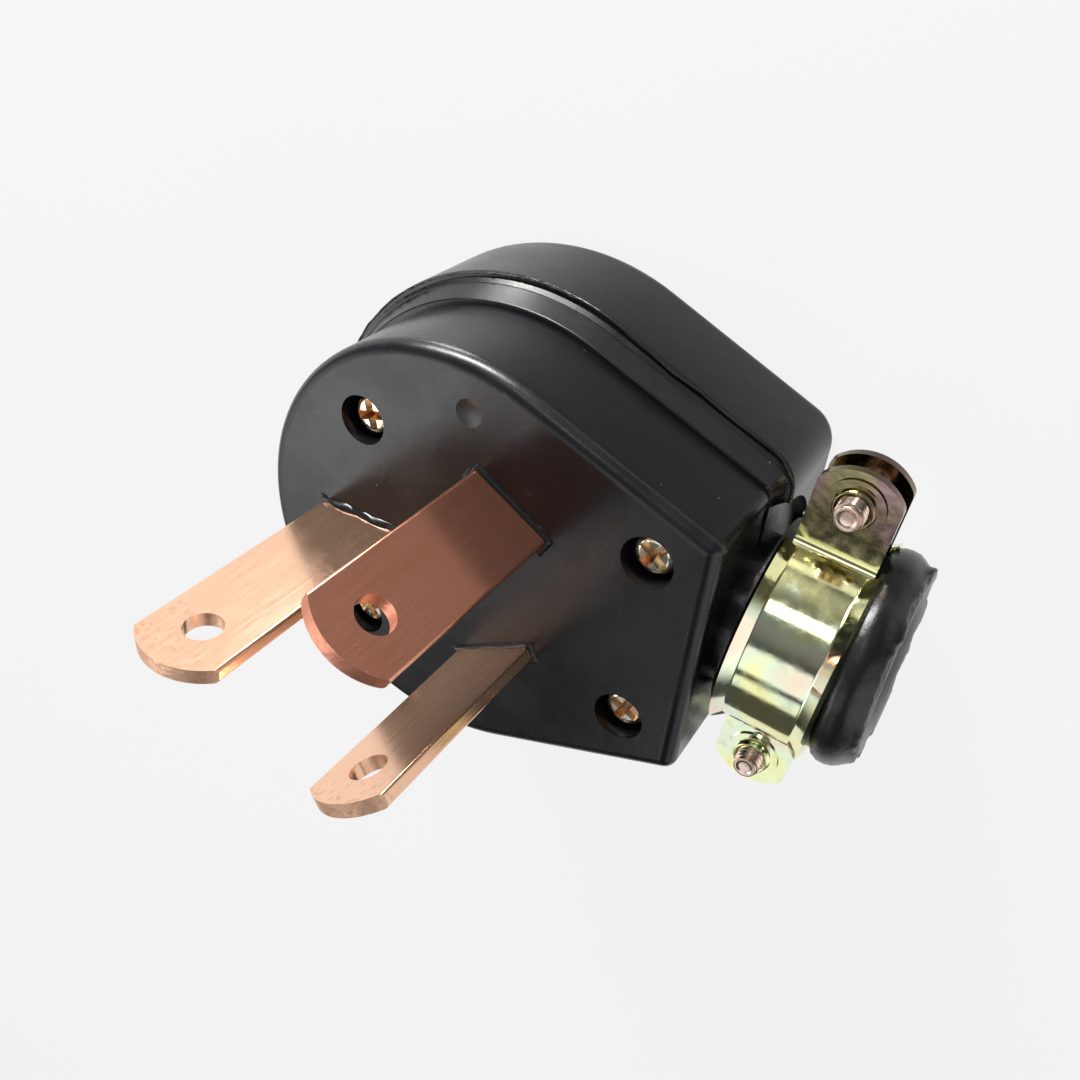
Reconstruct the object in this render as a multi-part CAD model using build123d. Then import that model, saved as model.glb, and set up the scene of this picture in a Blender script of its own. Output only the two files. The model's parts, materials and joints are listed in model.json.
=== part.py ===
from build123d import *
import os
from math import acos, asin, atan2, cos, degrees, hypot, radians, sin, sqrt

# A three-blade power plug with a side cable outlet. It lies on its flat back, blades up.
# Millimetres. +Z is the blade direction, +X the cable direction. The origin is on the
# flat back, below the centre of the body's round end.

# Body outline: a round end, straight sides drawn in to a narrower flat cable end
FACE_Z = 36.0
ROUND_R = 30.2
END_X = 37.4
END_HALF = 18.6
CORNER_R = 1.8
FACE_EDGE_R = 2.0

# Front body, which carries the blades: two steps out above the joint with the cover
STEP_Z = 20.7
BASE_Z = 17.9
JOINT_Z = 17.0
STEP_GROW = 2.1
STEP_SLOPE = 25.0
STEP_EDGE_R = 0.4
BASE_GROW = 2.7
BASE_END_GROW = 1.6
BASE_EDGE = 0.5
FACE_THICK = 5.0
PAD_DEPTH = 3.0
PAD_ALONG = 3.0
PAD_ACROSS = 4.0
PAD_CORNER_R = 2.0
INNER_EDGE_R = 1.0
WALL = 3.4
END_WALL = 5.0
TONGUE_DEPTH = 2.0
TONGUE_PLAY = 0.15
TONGUE_END_X = 30.2
MARK_X = 2.85
MARK_Y = 23.2
MARK_R = 1.9
MARK_DEPTH = 0.22

# Back cover
COVER_GROW = 3.5
COVER_END_GROW = 1.8
COVER_EDGE_R = 2.6
COVER_RIM_R = 0.35
COVER_INNER_R = 1.5
COVER_WALL = 4.0
COVER_FLOOR = 3.2

# Cover screws: sunk in the face, held by brass inserts in the cover
SCREW_ROUND_X = -13.5
SCREW_ROUND_Y = 16.2
SCREW_END_X = 28.85
SCREW_END_Y = 12.6
SINK_R = 3.5
SINK_DEPTH = 3.9
SCREW_HEAD_R = 3.0
SCREW_HEAD_H = 2.1
SCREW_R = 1.5
SCREW_PLAY = 0.2
SCREW_LENGTH = 20.0
SCREW_TURN = 17.0
COLUMN_R = 3.9
COLUMN_GROW = 0.5
RIB_THICK = 2.0
RIB_BELOW_JOINT = 3.0
INSERT_R = 2.4
INSERT_LENGTH = 8.0
INSERT_BELOW = 2.0

# Blades: flat copper bars with an arched tip and a hole, a wider tail inside
BLADE_THICK = 2.0
BLADE_TIP_R = 9.0
BLADE_HOLE_R = 2.5
BLADE_EDGE_R = 0.45
HOT_WIDTH = 12.7
HOT_REACH = 33.8
HOT_HOLE = 26.9
HOT_X = 9.5
HOT_Y = 12.05
HOT_ANGLE = 30.0
NEUTRAL_WIDTH = 13.5
NEUTRAL_REACH = 37.1
NEUTRAL_HOLE = 29.7
NEUTRAL_X = -13.5
TAIL_EXTRA = 1.2
TAIL_DEPTH = 8.5
TAIL_CORNER_R = 2.0
COLLAR_GROW = 0.7
COLLAR_H = 0.35

# Terminal screws and the square plates that press the wires
TERMINAL_R = 2.0
TERMINAL_HEAD_R = 3.6
TERMINAL_HEAD_H = 2.4
TERMINAL_LENGTH = 6.5
TERMINAL_DROP = 4.6
PLATE_SIDE = 8.0
PLATE_THICK = 1.2

# Cable way: the rubber bush keys into both halves of the body
AXIS_Z = 19.7
NECK_R = 10.5
KEY_GROW = 1.8
KEY_WIDTH = 2.0
KEY_X = 33.9
KEY_SINK = 0.5
INNER_WAY_R = 8.6
RECESS_R = 16.2
RECESS_X = 37.6
NECK_LENGTH = 1.6
BORE_R = 6.25
LIP_X = 52.3
LIP_R = 14.1
LIP_RISE = 1.6
LIP_EDGE_R = 1.1
LIP_GROOVE_X = 56.4
LIP_GROOVE = 0.6
LIP_RIM_R = 13.5
LIP_END_X = 58.2
MOUTH_R = 11.2
MOUTH_DEPTH = 3.8

# Two-part cord clamp, which sits a little askew on the bush
CLAMP_X = 46.1
CLAMP_SKEW = -4.2
CLAMP_IN_R = 13.1
WAIST_R = 13.05
CLAMP_SHEET = 1.2
CLAMP_HALF_WIDTH = 6.4
CLAMP_FLAT = 5.0
CLAMP_FLARE = 1.2
EAR_GAP = 3.3
EAR_WIDTH = 10.4
EAR_END_R = 6.3
EAR_END_Y = 26.2
EAR_CORNER_R = 1.5
EAR_BEND_R = 1.7
BOLT_Y = 21.5
BOLT_R = 1.5
BOLT_STICKS_OUT = 3.1
BOLT_HEAD_FLATS = 5.5
BOLT_HEAD_H = 2.0
EMBOSS_R = 3.7
EMBOSS_H = 0.3
WASHER_R = 2.9
WASHER_THICK = 0.8
WASHER_SLOT = 0.7

ON_LEFT = (Align.MIN, Align.CENTER, Align.CENTER)


def body_outline(grow, end_grow):
    """Face of the body's outline, grown outwards; the cable end grows by its own amount."""
    big = ROUND_R + grow
    corner = max(CORNER_R + grow, 0.8)
    end = END_X + end_grow
    cx, cy = end - corner, END_HALF + grow - corner
    lean = atan2(cy, cx) + acos((big - corner) / hypot(cx, cy))
    leave = (big * cos(lean), big * sin(lean))
    meet = (cx + corner * cos(lean), cy + corner * sin(lean))
    middle = (cx + corner * cos(lean / 2), cy + corner * sin(lean / 2))
    edges = [
        ThreePointArc(leave, (-big, 0), (leave[0], -leave[1])),
        Line((leave[0], -leave[1]), (meet[0], -meet[1])),
        ThreePointArc((meet[0], -meet[1]), (middle[0], -middle[1]), (end, -cy)),
        Line((end, -cy), (end, cy)),
        ThreePointArc((end, cy), middle, meet),
        Line(meet, leave),
    ]
    return make_face(edges)


def tier(grow, end_grow, bottom, top):
    """Straight slab of the body outline between two heights."""
    return extrude(Pos(0, 0, bottom) * body_outline(grow, end_grow), top - bottom)


def screw_places():
    """Centres of the four cover screws."""
    return [(x, side * y) for x, y in ((SCREW_ROUND_X, SCREW_ROUND_Y), (SCREW_END_X, SCREW_END_Y))
            for side in (1, -1)]


def upright(x, y, bottom, top, radius):
    """Cylinder that stands at a place between two heights."""
    return Pos(x, y, bottom) * Cylinder(radius, top - bottom, align=(Align.CENTER, Align.CENTER, Align.MIN))


def blade_places():
    """Location of each blade on the face, its width, reach and hole height."""
    return {
        "neutral_blade": (Pos(NEUTRAL_X, 0, FACE_Z), NEUTRAL_WIDTH, NEUTRAL_REACH, NEUTRAL_HOLE),
        "left_hot_blade": (Pos(HOT_X, HOT_Y, FACE_Z) * Rot(0, 0, -HOT_ANGLE),
                           HOT_WIDTH, HOT_REACH, HOT_HOLE),
        "right_hot_blade": (Pos(HOT_X, -HOT_Y, FACE_Z) * Rot(0, 0, HOT_ANGLE),
                            HOT_WIDTH, HOT_REACH, HOT_HOLE),
    }


def keyway(radius, start, end):
    """Solid along X whose section is round above the cable axis and round below the joint."""
    section = Pos(0, AXIS_Z) * Circle(radius) + Pos(0, JOINT_Z) * Circle(radius)
    section += Pos(0, (AXIS_Z + JOINT_Z) / 2) * Rectangle(2 * radius, AXIS_Z - JOINT_Z)
    return extrude(Plane(origin=(start, 0, 0), x_dir=(0, 1, 0), z_dir=(1, 0, 0)) * section, end - start)


def along_x(radius, start, end):
    """Cylinder on the cable axis between two places along X."""
    axis = Plane(origin=(start, 0, AXIS_Z), x_dir=(0, 1, 0), z_dir=(1, 0, 0))
    return axis * Cylinder(radius, end - start, align=(Align.CENTER, Align.CENTER, Align.MIN))


def cable_way():
    """Space that both halves of the body leave for the bush and the cable."""
    way = keyway(NECK_R, KEY_X + KEY_WIDTH, END_X + COVER_GROW)
    way += keyway(NECK_R + KEY_GROW, KEY_X, KEY_X + KEY_WIDTH)
    way += along_x(INNER_WAY_R, END_X - END_WALL - 1, KEY_X + KEY_SINK)
    way += along_x(RECESS_R, RECESS_X, END_X + COVER_GROW) - tier(0, 0, STEP_Z, FACE_Z)
    return way


def blade_pad(place, width):
    """Thickened pad under the face that holds one blade."""
    pad = RectangleRounded(width + 2 * PAD_ALONG, BLADE_THICK + 2 * PAD_ACROSS, PAD_CORNER_R)
    return place * Pos(0, 0, -FACE_THICK - PAD_DEPTH) * extrude(pad, PAD_DEPTH + 1)


def blade_collar(place, width):
    """Low moulded lip round the foot of a blade."""
    rim = RectangleRounded(width + 2 * COLLAR_GROW, BLADE_THICK + 2 * COLLAR_GROW, COLLAR_GROW)
    collar = extrude(Pos(0, 0, -0.5) * rim, 0.5 + COLLAR_H)
    return place * chamfer(collar.edges().group_by(Axis.Z)[-1], COLLAR_H * 0.8)


def front_body():
    """Moulded front with the face, its steps, the inner columns and the cable notch."""
    outer = tier(0, 0, JOINT_Z, FACE_Z)
    outer = fillet(outer.edges().group_by(Axis.Z)[-1], FACE_EDGE_R)
    outer += sloped_step()
    base = tier(BASE_GROW, BASE_END_GROW, JOINT_Z, BASE_Z)
    outer += chamfer(base.edges().group_by(Axis.Z)[-1], BASE_EDGE)
    tongue = tier(-COVER_WALL + COVER_GROW - TONGUE_PLAY, -END_WALL, JOINT_Z - TONGUE_DEPTH, JOINT_Z)
    outer += tongue - Pos(TONGUE_END_X, 0, 0) * Box(END_X, 2 * ROUND_R, 2 * FACE_Z, align=ON_LEFT)

    hollow = tier(-WALL, -END_WALL, JOINT_Z - TONGUE_DEPTH, FACE_Z - FACE_THICK)
    hollow = fillet(hollow.edges().group_by(Axis.Z)[-1], INNER_EDGE_R)
    for x, y in screw_places():
        hollow -= upright(x, y, JOINT_Z - TONGUE_DEPTH, FACE_Z, COLUMN_R)
    for place, width, _, _ in blade_places().values():
        hollow -= blade_pad(place, width)
    body = outer - hollow

    for place, width, _, _ in blade_places().values():
        body += blade_collar(place, width)
    for x, y in screw_places():
        body -= upright(x, y, FACE_Z - SINK_DEPTH, FACE_Z + 1, SINK_R)
        body -= upright(x, y, 0, FACE_Z, SCREW_R + SCREW_PLAY)
        body -= upright(x, y, 0, JOINT_Z, COLUMN_R + COLUMN_GROW + TONGUE_PLAY)
    for place, width, _, _ in blade_places().values():
        body -= place * Box(width, BLADE_THICK, 2 * FACE_THICK + 2 * PAD_DEPTH + 0.1)
    body -= ejector_mark()
    return body - cable_way()


def sloped_step():
    """Step between the face's outline and the base, its wall sloped outwards to the base."""
    height = STEP_Z - BASE_Z
    foot = Pos(0, 0, BASE_Z) * body_outline(STEP_GROW, STEP_GROW - 0.6)
    step = extrude(foot, height, taper=STEP_SLOPE)
    step += tier(STEP_GROW, STEP_GROW - 0.6, JOINT_Z, BASE_Z)
    return fillet(step.edges().group_by(Axis.Z)[-1], STEP_EDGE_R)


def ejector_mark():
    """Ball that leaves a shallow dished mark on the face."""
    ball = (MARK_R ** 2 + MARK_DEPTH ** 2) / (2 * MARK_DEPTH)
    return Pos(MARK_X, MARK_Y, FACE_Z - MARK_DEPTH + ball) * Sphere(ball)


def back_cover():
    """Moulded cover: a deep tray with four screw columns and the lower cable notch."""
    outer = tier(COVER_GROW, COVER_END_GROW, 0, JOINT_Z)
    outer = fillet(outer.edges().group_by(Axis.Z)[0], COVER_EDGE_R)
    outer = fillet(outer.edges().group_by(Axis.Z)[-1], COVER_RIM_R)
    hollow = tier(COVER_GROW - COVER_WALL, -END_WALL, COVER_FLOOR, JOINT_Z)
    hollow = fillet(hollow.edges().group_by(Axis.Z)[0], COVER_INNER_R)
    for x, y in screw_places():
        hollow -= upright(x, y, 0, JOINT_Z, COLUMN_R + COLUMN_GROW)
        hollow -= column_rib(x, y)
    cover = outer - hollow
    for x, y in screw_places():
        cover -= upright(x, y, JOINT_Z - INSERT_LENGTH, JOINT_Z, INSERT_R)
        cover -= upright(x, y, JOINT_Z - INSERT_LENGTH - INSERT_BELOW, JOINT_Z, SCREW_R + SCREW_PLAY)
    return cover - cable_way()


def column_rib(x, y):
    """Rib from a screw column of the cover to the side wall."""
    reach = ROUND_R + COVER_GROW - COVER_WALL / 2 - hypot(x, y) if x < 0 else END_HALF - abs(y) + 3
    turn = degrees(atan2(y, x)) if x < 0 else (90 if y > 0 else -90)
    height = JOINT_Z - RIB_BELOW_JOINT
    rib = Box(reach, RIB_THICK, height, align=(Align.MIN, Align.CENTER, Align.MIN))
    return Pos(x, y, 0) * Rot(0, 0, turn) * rib


def blade(width, reach, hole):
    """Copper bar drawn in its own plane: arched tip, hole, wider tail with a tapped hole."""
    half = width / 2
    corner = reach - BLADE_TIP_R + sqrt(BLADE_TIP_R ** 2 - half ** 2)
    tip = make_face([
        Line((-half, 0), (half, 0)), Line((half, 0), (half, corner)),
        ThreePointArc((half, corner), (0, reach), (-half, corner)), Line((-half, corner), (-half, 0)),
    ])
    bar = extrude(Plane.XZ * tip, BLADE_THICK / 2, both=True)
    bar = fillet(bar.edges().filter_by(Axis.Z), BLADE_EDGE_R)
    shoulder = -FACE_THICK - PAD_DEPTH
    bar += Pos(0, 0, shoulder / 2) * Box(width, BLADE_THICK, -shoulder)
    tail = Box(width + 2 * TAIL_EXTRA, BLADE_THICK, TAIL_DEPTH)
    tail = fillet(tail.edges().filter_by(Axis.Y).group_by(Axis.Z)[0], TAIL_CORNER_R)
    bar += Pos(0, 0, shoulder - TAIL_DEPTH / 2) * tail
    bar -= Pos(0, 0, hole) * Rot(90, 0, 0) * Cylinder(BLADE_HOLE_R, 2 * BLADE_THICK)
    bar -= Pos(0, 0, shoulder - TERMINAL_DROP) * Rot(90, 0, 0) * Cylinder(TERMINAL_R, 2 * BLADE_THICK)
    return bar


def cross_recess(size, depth):
    """Tapered cross recess, its opening at height zero."""
    arm = size * 0.3
    cross = Rectangle(size, arm) + Rectangle(arm, size)
    return extrude(cross, -depth, taper=14)


def pan_screw(radius, length, head_r, head_h):
    """Cross recess screw with a low domed head; the seat of the head is at height zero."""
    head = Cylinder(head_r, head_h, align=(Align.CENTER, Align.CENTER, Align.MIN))
    head = fillet(head.edges().group_by(Axis.Z)[-1], head_h * 0.55)
    shank = Cylinder(radius, length, align=(Align.CENTER, Align.CENTER, Align.MAX))
    shank = chamfer(shank.edges().group_by(Axis.Z)[0], radius * 0.3)
    return head + shank - Pos(0, 0, head_h) * cross_recess(head_r * 1.4, head_h * 0.75)


def terminal_side(place):
    """Frame on the inner side of a blade's tail, its Z axis along the terminal screw."""
    drop = -FACE_THICK - PAD_DEPTH - TERMINAL_DROP
    inward = 1 if place.position.Y < 0 else -1
    return place * Pos(0, inward * BLADE_THICK / 2, drop) * Rot(-90 * inward, 0, 0)


def terminal_plate():
    """Square plate under the head of a terminal screw."""
    plate = extrude(RectangleRounded(PLATE_SIDE, PLATE_SIDE, PLATE_SIDE / 10), PLATE_THICK)
    return plate - Cylinder(TERMINAL_R + 0.2, 4 * PLATE_THICK)


def bush_lip():
    """Flared end of the bush: a thick rounded ridge, a groove and a thinner outer rim."""
    section = make_face(Polyline(
        (LIP_X, 0), (LIP_X, WAIST_R - 0.6), (LIP_X + LIP_RISE, LIP_R), (LIP_GROOVE_X - LIP_GROOVE, LIP_R),
        (LIP_GROOVE_X, LIP_RIM_R - LIP_GROOVE), (LIP_GROOVE_X + LIP_GROOVE, LIP_RIM_R),
        (LIP_END_X, LIP_RIM_R), (LIP_END_X, 0), close=True))
    ridge = section.vertices().filter_by(lambda v: LIP_X < v.X < LIP_GROOVE_X and v.Y > LIP_R - 0.1)
    section = fillet(ridge, LIP_EDGE_R)
    rim = section.vertices().filter_by(lambda v: v.X > LIP_GROOVE_X + 0.1 and v.Y > LIP_RIM_R - 0.1)
    section = fillet(rim, LIP_EDGE_R / 3)
    return Pos(0, 0, AXIS_Z) * revolve(section, Axis.X, 360)


def bush_bore():
    """Space inside the bush: a straight bore that opens into a dished mouth."""
    dish_x = LIP_END_X - MOUTH_DEPTH
    middle = (LIP_END_X - 0.45 * MOUTH_DEPTH, BORE_R + 0.3 * (MOUTH_R - BORE_R))
    section = make_face([
        Line((KEY_X - 1, 0), (KEY_X - 1, BORE_R)), Line((KEY_X - 1, BORE_R), (dish_x, BORE_R)),
        ThreePointArc((dish_x, BORE_R), middle, (LIP_END_X, MOUTH_R)),
        Line((LIP_END_X, MOUTH_R), (LIP_END_X + 1, MOUTH_R)),
        Line((LIP_END_X + 1, MOUTH_R), (LIP_END_X + 1, 0)),
        Line((LIP_END_X + 1, 0), (KEY_X - 1, 0)),
    ])
    return Pos(0, 0, AXIS_Z) * revolve(section, Axis.X, 360)


def cable_bush():
    """Rubber bush: key in the body wall, waist under the clamp, flared lip, cable bore."""
    bush = keyway(NECK_R, KEY_X, RECESS_X)
    bush += keyway(NECK_R + KEY_GROW, KEY_X, KEY_X + KEY_WIDTH)
    bush += along_x(NECK_R, RECESS_X - 0.5, RECESS_X + NECK_LENGTH + 1.5)
    reach = LIP_X - CLAMP_X + 1.0
    back = CLAMP_X - RECESS_X - NECK_LENGTH
    waist = Rot(0, 90, 0) * Pos(0, 0, (reach - back) / 2) * Cylinder(WAIST_R, reach + back)
    bush += clamp_frame() * waist
    bush += bush_lip()
    return bush - bush_bore()


def clamp_frame():
    """Frame of the clamp: centred on the bush, turned a little about the blade direction."""
    return Pos(CLAMP_X, 0, AXIS_Z) * Rot(0, 0, CLAMP_SKEW)


def ear_profile():
    """Section of a clamp half across the cable: arch, concave bends and two flat ears."""
    middle_r = CLAMP_IN_R + CLAMP_SHEET / 2
    ear_z = (EAR_GAP + CLAMP_SHEET) / 2
    bend_z = ear_z + EAR_BEND_R
    bend_y = sqrt((middle_r + EAR_BEND_R) ** 2 - bend_z ** 2)
    lean = atan2(bend_z, bend_y)
    leave = (middle_r * cos(lean), middle_r * sin(lean))
    tip = EAR_END_Y + 1
    turn = radians(180) + lean
    mid_turn = (turn + radians(270)) / 2
    low = (bend_y + EAR_BEND_R * cos(mid_turn), bend_z + EAR_BEND_R * sin(mid_turn))
    path = [
        Line((-tip, ear_z), (-bend_y, ear_z)),
        ThreePointArc((-bend_y, ear_z), (-low[0], low[1]), (-leave[0], leave[1])),
        ThreePointArc((-leave[0], leave[1]), (0, middle_r), leave),
        ThreePointArc(leave, low, (bend_y, ear_z)),
        Line((bend_y, ear_z), (tip, ear_z)),
    ]
    return trace(path, CLAMP_SHEET)


def ear_outline():
    """Outline of a clamp half seen along the bolts: a strap with arched ends."""
    end = EAR_END_Y - EAR_END_R
    arched = Rectangle(2 * EAR_END_R, 2 * end)
    for side in (1, -1):
        arched += Pos(0, side * end) * Circle(EAR_END_R)
    strap = arched & Rectangle(EAR_WIDTH, 2 * EAR_END_Y)
    corners = strap.vertices().filter_by(lambda v: abs(v.Y) > end)
    return fillet(corners, EAR_CORNER_R)


def clamp_half(tapped):
    """Pressed saddle half above the clamp's middle plane."""
    across = Plane(origin=(-EAR_WIDTH / 2, 0, 0), x_dir=(0, 1, 0), z_dir=(1, 0, 0))
    half = extrude(across * ear_profile(), EAR_WIDTH)
    half &= extrude(ear_outline(), 2 * CLAMP_IN_R)
    half -= arch_wedge()
    half += flared_band()
    ear_top = EAR_GAP / 2 + CLAMP_SHEET
    for side in (1, -1):
        if tapped:
            half += upright(0, side * BOLT_Y, ear_top - 0.1, ear_top + EMBOSS_H, EMBOSS_R)
        hole = BOLT_R if tapped else BOLT_R + SCREW_PLAY
        half -= upright(0, side * BOLT_Y, 0, 2 * ear_top, hole)
    return half


def band_start():
    """Angle above the clamp's middle plane, in degrees, at which the arch leaves the bends."""
    bend_z = (EAR_GAP + CLAMP_SHEET) / 2 + EAR_BEND_R
    past_bend = 0.6
    return degrees(asin(bend_z / (CLAMP_IN_R + CLAMP_SHEET / 2 + EAR_BEND_R))) + past_bend


def arch_wedge():
    """Space that the flared band fills between the two bends."""
    reach = 3 * CLAMP_IN_R
    foot_y, foot_z = reach * cos(radians(band_start())), reach * sin(radians(band_start()))
    section = make_face(Polyline(
        (0, 0), (foot_y, foot_z), (foot_y, reach), (-foot_y, reach), (-foot_y, foot_z), close=True))
    across = Plane(origin=(-EAR_WIDTH, 0, 0), x_dir=(0, 1, 0), z_dir=(1, 0, 0))
    return extrude(across * section, 2 * EAR_WIDTH)


def flared_band():
    """Arched band of a clamp half, its two rims turned outwards."""
    inner, outer = CLAMP_IN_R, CLAMP_IN_R + CLAMP_SHEET
    wide, flat = CLAMP_HALF_WIDTH, CLAMP_FLAT
    section = make_face(Polyline(
        (-wide, inner + CLAMP_FLARE), (-flat, inner), (flat, inner), (wide, inner + CLAMP_FLARE),
        (wide - 0.5, outer + CLAMP_FLARE), (flat - 0.6, outer), (-flat + 0.6, outer),
        (-wide + 0.5, outer + CLAMP_FLARE), close=True))
    section = fillet(section.vertices().filter_by(lambda v: abs(v.X) < flat + 0.1), 0.5)
    band = revolve(section, Axis.X, 180 - 2 * band_start())
    return Rot(band_start(), 0, 0) * band


def clamp_bolt():
    """Bolt with a hexagon head; its seat is at height zero and the shank points up."""
    length = WASHER_THICK + 2 * CLAMP_SHEET + EAR_GAP + BOLT_STICKS_OUT
    head = extrude(RegularPolygon(BOLT_HEAD_FLATS / 2, 6, major_radius=False), -BOLT_HEAD_H)
    head = chamfer(head.edges().group_by(Axis.Z)[0], 0.3)
    shank = Cylinder(BOLT_R, length, align=(Align.CENTER, Align.CENTER, Align.MIN))
    return head + chamfer(shank.edges().group_by(Axis.Z)[-1], 0.35)


def spring_washer():
    """Split washer under a bolt head, its lower face at height zero."""
    ring = Cylinder(WASHER_R, WASHER_THICK, align=(Align.CENTER, Align.CENTER, Align.MIN))
    ring -= Cylinder(BOLT_R + SCREW_PLAY, 4 * WASHER_THICK)
    return ring - Pos(WASHER_R, 0, 0) * Rot(0, 0, 20) * Box(2 * WASHER_R - 1, WASHER_SLOT, 4 * WASHER_THICK)


def build_nodes():
    """Every sub-part by name, in its place."""
    nodes = {"front_body": front_body(), "back_cover": back_cover(), "cable_bush": cable_bush()}
    for name, (place, width, reach, hole) in blade_places().items():
        role = name.replace("_blade", "")
        nodes[name] = place * blade(width, reach, hole)
        side = terminal_side(place)
        nodes[role + "_wire_plate"] = side * terminal_plate()
        screw = pan_screw(TERMINAL_R, TERMINAL_LENGTH, TERMINAL_HEAD_R, TERMINAL_HEAD_H)
        nodes[role + "_terminal_screw"] = side * Pos(0, 0, PLATE_THICK) * screw
    cover_screw = pan_screw(SCREW_R, SCREW_LENGTH, SCREW_HEAD_R, SCREW_HEAD_H)
    insert = upright(0, 0, -INSERT_LENGTH, 0, INSERT_R) - upright(0, 0, -INSERT_LENGTH, 0, SCREW_R)
    for number, (x, y) in enumerate(screw_places(), 1):
        seat = Pos(x, y, FACE_Z - SINK_DEPTH) * Rot(0, 0, SCREW_TURN * number)
        nodes[f"cover_screw_{number}"] = seat * cover_screw
        nodes[f"cover_insert_{number}"] = Pos(x, y, JOINT_Z) * insert
    frame = clamp_frame()
    nodes["clamp_front_half"] = frame * clamp_half(tapped=True)
    nodes["clamp_rear_half"] = frame * Rot(180, 0, 0) * clamp_half(tapped=False)
    seat = -EAR_GAP / 2 - CLAMP_SHEET - WASHER_THICK
    for name, side in (("left", 1), ("right", -1)):
        nodes[f"{name}_clamp_bolt"] = frame * Pos(0, side * BOLT_Y, seat) * clamp_bolt()
        nodes[f"{name}_spring_washer"] = frame * Pos(0, side * BOLT_Y, seat) * spring_washer()
    return nodes


def write_nodes():
    """Write each sub-part to its own file."""
    os.makedirs("parts", exist_ok=True)
    for name, shape in build_nodes().items():
        export_step(shape, f"parts/{name}.step")
        print(name, "volume", round(shape.volume, 1))


write_nodes()
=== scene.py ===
"""Finishes, small moulding marks, threads and studio for a three-blade power plug.

Metres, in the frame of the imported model: +Z along the blades, +X along the cable outlet.
"""

import json
import logging
import math
from dataclasses import dataclass, field
from enum import Enum
from typing import Callable

import bpy
from mathutils import Matrix, Vector, noise

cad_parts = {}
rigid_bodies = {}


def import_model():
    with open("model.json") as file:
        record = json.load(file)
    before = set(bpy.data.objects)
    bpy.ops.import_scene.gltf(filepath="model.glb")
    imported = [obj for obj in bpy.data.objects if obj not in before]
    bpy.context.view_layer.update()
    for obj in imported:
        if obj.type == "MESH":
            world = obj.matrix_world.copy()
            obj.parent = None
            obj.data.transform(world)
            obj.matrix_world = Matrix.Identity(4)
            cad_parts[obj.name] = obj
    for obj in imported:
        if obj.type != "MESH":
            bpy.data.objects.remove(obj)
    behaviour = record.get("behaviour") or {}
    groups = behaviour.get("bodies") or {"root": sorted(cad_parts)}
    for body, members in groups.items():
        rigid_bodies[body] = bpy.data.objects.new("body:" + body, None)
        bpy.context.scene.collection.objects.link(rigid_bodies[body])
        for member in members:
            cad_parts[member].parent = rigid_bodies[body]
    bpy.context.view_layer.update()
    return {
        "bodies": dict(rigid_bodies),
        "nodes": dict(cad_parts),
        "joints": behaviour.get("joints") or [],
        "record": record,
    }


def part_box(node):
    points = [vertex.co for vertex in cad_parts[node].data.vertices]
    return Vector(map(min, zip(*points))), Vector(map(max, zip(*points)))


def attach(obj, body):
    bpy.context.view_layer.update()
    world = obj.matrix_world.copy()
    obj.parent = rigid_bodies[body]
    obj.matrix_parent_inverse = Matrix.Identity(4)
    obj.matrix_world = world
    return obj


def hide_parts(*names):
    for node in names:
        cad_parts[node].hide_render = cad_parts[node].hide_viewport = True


LOG = logging.getLogger("plug")
MM = 0.001
CLOSE = 0.001 * MM  # within which cuts and merges treat points as one
FACING = 0.9  # share of a normal along an axis that counts as facing it
BODY = "root"

Colour = tuple[float, float, float]
Point = tuple[float, float, float]
Span = tuple[float, float]  # low and high
Ramp = tuple[float, float, float, float]  # low, high, result at low, result at high


class Slot(Enum):
    """Material slots of the record."""

    MOULDING = "moulding"
    RUBBER = "bush_rubber"
    COPPER = "copper"
    SCREWS = "brass_screws"
    CLAMP = "clamp_zinc"
    BOLTS = "bolt_zinc"


class Sky(Enum):
    """Directions of the soft patches of light, as azimuth and elevation in degrees."""

    ZENITH = (-110.0, 74.0)
    LEFT_HIGH = (-158.0, 36.0)
    FRONT = (-99.0, 46.0)
    RIGHT = (-20.0, 25.0)
    TOP_LOW = (110.0, 12.0)
    OVAL = (93.0, 45.0)
    BACK = (95.0, 40.0)


def direction(azimuth: float, elevation: float) -> Vector:
    """Unit vector of a direction.

    Args:
        azimuth: Degrees from +X towards +Y.
        elevation: Degrees above the floor.

    Returns:
        The unit vector.
    """
    a, e = math.radians(azimuth), math.radians(elevation)
    return Vector((math.cos(e) * math.cos(a), math.cos(e) * math.sin(a), math.sin(e)))


@dataclass(frozen=True)
class Wave:
    """Smooth random wave over a place, for uneven edges."""

    strength: float
    scale: float

    def at(self, place: Vector, seed: Point = (0.0, 0.0, 0.0)) -> float:
        """Height of the wave.

        Args:
            place: Where it is read.
            seed: Shift that tells one wave from another.

        Returns:
            The height, between about -strength and strength.
        """
        return self.strength * noise.noise(place * self.scale + Vector(seed))


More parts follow.
